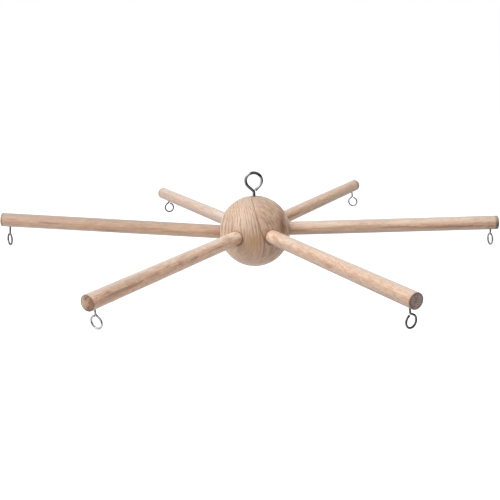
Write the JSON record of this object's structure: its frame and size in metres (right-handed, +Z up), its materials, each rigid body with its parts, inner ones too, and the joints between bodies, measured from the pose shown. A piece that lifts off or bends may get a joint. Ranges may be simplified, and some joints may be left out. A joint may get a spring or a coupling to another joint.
{
  "type": "mobile hanging frame",
  "caption": "Wooden hanging frame for a mobile or wind chime: a drilled ball with straight dowel arms, a wire eye on top and a small wire eye under each arm tip.",
  "frame": {"origin": "the top of the hole in the top eye, where the cord or hook bears that the frame hangs from; the ball's centre is 42.1 mm straight below", "axes": "+Z up along the top eye's shank, +X along the right arm (it rises 0.8 degrees above X), -Y towards the side that the two front arms point to"},
  "size_m": [0.3635, 0.3156, 0.0703],
  "materials": {
    "ball_wood": "sanded, unvarnished, straight grain with fine pores",
    "dowel_wood": "sanded, unvarnished, pinkish tan with short flecks",
    "plated_wire": "bright nickel-plated steel wire"
  },
  "bodies": {
    "top_eye": {"top_eye": "plated_wire"},
    "hub": {"hub_ball": "ball_wood"},
    "arm_right": {"arm_right": "dowel_wood"},
    "eye_right": {"eye_right": "plated_wire"},
    "arm_back_right": {"arm_back_right": "dowel_wood"},
    "eye_back_right": {"eye_back_right": "plated_wire"},
    "arm_back_left": {"arm_back_left": "dowel_wood"},
    "eye_back_left": {"eye_back_left": "plated_wire"},
    "arm_left": {"arm_left": "dowel_wood"},
    "eye_left": {"eye_left": "plated_wire"},
    "arm_front_left": {"arm_front_left": "dowel_wood"},
    "eye_front_left": {"eye_front_left": "plated_wire"},
    "arm_front_right": {"arm_front_right": "dowel_wood"},
    "eye_front_right": {"eye_front_right": "plated_wire"}
  },
  "joints": [
    {"name": "hub_turn", "type": "hinge", "parent": "top_eye", "child": "hub", "pos_m": [0, 0, -0.0421], "axis": [0, 0, 1], "range_deg": [-180, 180]},
    {"name": "arm_right_pull", "type": "slide", "parent": "hub", "child": "arm_right", "axis": [0.9999, 0, 0.014], "range_m": [0, 0.0135]},
    {"name": "eye_right_turn", "type": "hinge", "parent": "arm_right", "child": "eye_right", "pos_m": [0.17164, -0.00026, -0.0435], "axis": [-0.0227, 0.0523, 0.9984], "range_deg": [-180, 180]},
    {"name": "arm_back_right_pull", "type": "slide", "parent": "hub", "child": "arm_back_right", "axis": [0.4999, 0.8659, 0.0157], "range_m": [0, 0.0135]},
    {"name": "eye_back_right_turn", "type": "hinge", "parent": "arm_back_right", "child": "eye_back_right", "pos_m": [0.08563, 0.14727, -0.0443], "axis": [-0.107, 0.0236, 0.994], "range_deg": [-180, 180]},
    {"name": "arm_back_left_pull", "type": "slide", "parent": "hub", "child": "arm_back_left", "axis": [-0.5, 0.866, -0.007], "range_m": [0, 0.0135]},
    {"name": "eye_back_left_turn", "type": "hinge", "parent": "arm_back_left", "child": "eye_back_left", "pos_m": [-0.08243, 0.14242, -0.04865], "axis": [-0.03, 0.1214, 0.9922], "range_deg": [-180, 180]},
    {"name": "arm_left_pull", "type": "slide", "parent": "hub", "child": "arm_left", "axis": [-0.9973, 0, 0.0732], "range_m": [0, 0.0135]},
    {"name": "eye_left_turn", "type": "hinge", "parent": "arm_left", "child": "eye_left", "pos_m": [-0.18133, 0, -0.0359], "axis": [0.1167, 0, 0.9932], "range_deg": [-180, 180]},
    {"name": "arm_front_left_pull", "type": "slide", "parent": "hub", "child": "arm_front_left", "axis": [-0.5, -0.866, -0.0052], "range_m": [0, 0.0135]},
    {"name": "eye_front_left_turn", "type": "hinge", "parent": "arm_front_left", "child": "eye_front_left", "pos_m": [-0.08576, -0.14837, -0.0474], "axis": [-0.0268, -0.0812, 0.9963], "range_deg": [-180, 180]},
    {"name": "arm_front_right_pull", "type": "slide", "parent": "hub", "child": "arm_front_right", "axis": [0.5, -0.866, -0.0087], "range_m": [0, 0.0135]},
    {"name": "eye_front_right_turn", "type": "hinge", "parent": "arm_front_right", "child": "eye_front_right", "pos_m": [0.08773, -0.15022, -0.04734], "axis": [-0.1461, -0.0943, 0.9848], "range_deg": [-180, 180]}
  ]
}
